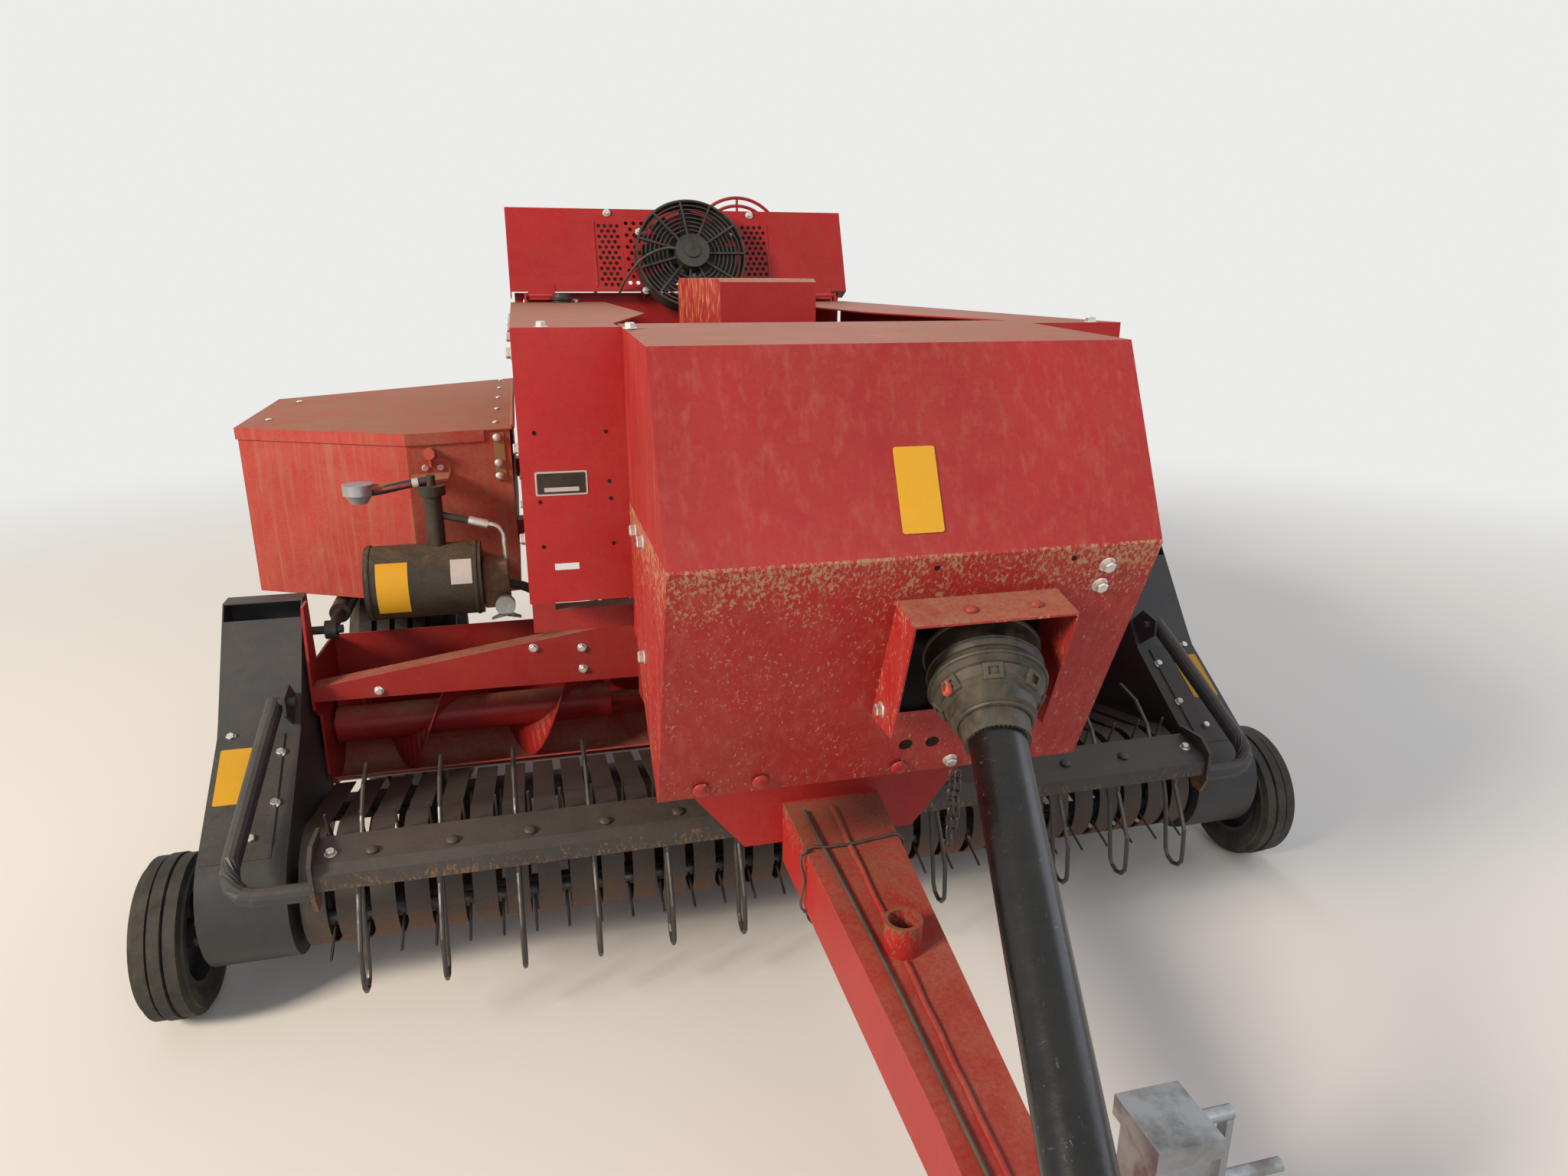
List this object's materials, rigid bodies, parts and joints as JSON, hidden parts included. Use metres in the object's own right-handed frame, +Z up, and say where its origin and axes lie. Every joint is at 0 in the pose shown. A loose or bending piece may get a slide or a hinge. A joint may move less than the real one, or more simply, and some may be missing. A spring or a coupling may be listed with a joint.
{
  "type": "square baler",
  "caption": "Towed in-line square baler with centre pickup, front hood, tapered drawbar on its parking jack, twine boxes, knotter hood with fan, wind guard and bale chute.",
  "frame": {"origin": "middle of the footprint at the ground, under the bale chamber", "axes": "+X to the machine's left, +Y to its rear, +Z up"},
  "size_m": [2.7, 5.2899, 1.793],
  "materials": {
    "red_paint": "faded red paint with dust",
    "dark_grey_paint": "worn dark grey paint",
    "black_paint": "satin black paint",
    "rim_paint": "silver paint",
    "zinc": "dull zinc",
    "steel": "bare worn steel",
    "tyre": "dusty tyre rubber",
    "black_plastic": "matt black",
    "guard_plastic": "satin black plastic",
    "hose_rubber": "hose rubber"
  },
  "bodies": {
    "chassis": {"main_frame": "red_paint", "shield_frame": "red_paint", "axle_cheeks": "red_paint", "box_arms": "red_paint", "axle": "red_paint", "drawbar": "red_paint", "jack_tube": "zinc", "bale_chamber": "red_paint", "front_hood": "red_paint", "side_shield_left": "red_paint", "side_shield_right": "red_paint", "drive_gearbox": "dark_grey_paint", "crank_and_rods": "steel", "plunger": "red_paint", "gear_cover": "red_paint", "pto_guard": "guard_plastic", "knotter_stack": "steel", "twine_box_left": "red_paint", "twine_box_right": "red_paint", "canister": "black_plastic", "gauge": "steel", "hoses": "hose_rubber", "feed_housing": "red_paint", "tension_gear": "red_paint"},
    "parking_jack": {"jack_leg": "zinc"},
    "drive_flywheel": {"flywheel": "dark_grey_paint"},
    "needles": {"needle_yoke": "steel"},
    "knotter_hood": {"knotter_cover": "red_paint", "knotter_screen": "red_paint", "fan": "black_plastic"},
    "lid_left": {"twine_lid_left": "red_paint"},
    "lid_right": {"twine_lid_right": "red_paint"},
    "wheel_left": {"main_tyre_left": "tyre", "main_rim_left": "rim_paint"},
    "wheel_right": {"main_tyre_right": "tyre", "main_rim_right": "rim_paint"},
    "auger": {"auger_core": "red_paint", "auger_flights": "red_paint"},
    "pickup": {"pickup_covers": "dark_grey_paint", "strippers": "dark_grey_paint"},
    "reel": {"pickup_reel": "steel"},
    "gauge_wheel_left": {"gauge_tyre_left": "tyre", "gauge_rim_left": "dark_grey_paint"},
    "gauge_wheel_right": {"gauge_tyre_right": "tyre", "gauge_rim_right": "dark_grey_paint"},
    "windguard": {"wind_guard": "dark_grey_paint", "guard_arms": "dark_grey_paint", "guard_rods": "steel"},
    "lift_cylinder": {"lift_barrel": "black_paint"},
    "lift_piston": {"lift_rod": "steel"},
    "bale_meter": {"metering_wheel": "red_paint"},
    "chute": {"bale_chute": "red_paint"}
  },
  "joints": [
    {"name": "jack_leg_slide", "type": "slide", "parent": "chassis", "child": "parking_jack", "axis": [0, 0, 1], "range_m": [0, 0.21]},
    {"name": "flywheel_spin", "type": "hinge", "parent": "chassis", "child": "drive_flywheel", "pos_m": [0.09, -0.98, 0.947], "axis": [0, 1, 0], "continuous": true},
    {"name": "needle_swing", "type": "hinge", "parent": "chassis", "child": "needles", "pos_m": [0, 0.51, 0.95], "axis": [1, 0, 0], "range_deg": [0, 65]},
    {"name": "knotter_hood_open", "type": "hinge", "parent": "chassis", "child": "knotter_hood", "pos_m": [0, 0.748, 1.448], "axis": [1, 0, 0], "range_deg": [0, 60]},
    {"name": "twine_lid_left_open", "type": "hinge", "parent": "chassis", "child": "lid_left", "pos_m": [0.549, 0.6, 1.1518], "axis": [0, -1, 0], "range_deg": [0, 75]},
    {"name": "twine_lid_right_open", "type": "hinge", "parent": "chassis", "child": "lid_right", "pos_m": [-0.549, 0.6, 1.1518], "axis": [0, 1, 0], "range_deg": [0, 75]},
    {"name": "wheel_left_spin", "type": "hinge", "parent": "chassis", "child": "wheel_left", "pos_m": [0.885, 0.51, 0.35], "axis": [1, 0, 0], "continuous": true},
    {"name": "wheel_right_spin", "type": "hinge", "parent": "chassis", "child": "wheel_right", "pos_m": [-0.885, 0.51, 0.35], "axis": [1, 0, 0], "continuous": true},
    {"name": "auger_spin", "type": "hinge", "parent": "chassis", "child": "auger", "pos_m": [0, 0.005, 0.425], "axis": [1, 0, 0], "continuous": true},
    {"name": "pickup_lift", "type": "hinge", "parent": "chassis", "child": "pickup", "pos_m": [0, 0.005, 0.425], "axis": [-1, 0, 0], "range_deg": [0, 15]},
    {"name": "reel_spin", "type": "hinge", "parent": "pickup", "child": "reel", "pos_m": [0, -0.455, 0.265], "axis": [1, 0, 0], "continuous": true},
    {"name": "gauge_wheel_left_spin", "type": "hinge", "parent": "pickup", "child": "gauge_wheel_left", "pos_m": [1.3, -0.44, 0.172], "axis": [1, 0, 0], "continuous": true},
    {"name": "gauge_wheel_right_spin", "type": "hinge", "parent": "pickup", "child": "gauge_wheel_right", "pos_m": [-1.3, -0.44, 0.172], "axis": [1, 0, 0], "continuous": true},
    {"name": "windguard_swing", "type": "hinge", "parent": "pickup", "child": "windguard", "pos_m": [0, -0.3, 0.62], "axis": [-1, 0, 0], "range_deg": [0, 15]},
    {"name": "lift_cylinder_tilt", "type": "hinge", "parent": "chassis", "child": "lift_cylinder", "pos_m": [-1, 0.29, 0.7], "axis": [-1, 0, 0], "range_deg": [0, 1.59]},
    {"name": "lift_piston_slide", "type": "slide", "parent": "lift_cylinder", "child": "lift_piston", "axis": [0, 1, 0], "range_m": [0, 0.07379]},
    {"name": "bale_meter_spin", "type": "hinge", "parent": "chassis", "child": "bale_meter", "pos_m": [0, 1.185, 1.213], "axis": [1, 0, 0], "continuous": true},
    {"name": "chute_fold", "type": "hinge", "parent": "chassis", "child": "chute", "pos_m": [0, 2.102, 0.748], "axis": [1, 0, 0], "range_deg": [0, 80]}
  ],
  "couplings": [
    {"joint": "lift_cylinder_tilt", "follows": "pickup_lift", "ratio": 0.10289},
    {"joint": "lift_piston_slide", "follows": "pickup_lift", "m_per_rad": 0.27995}
  ]
}
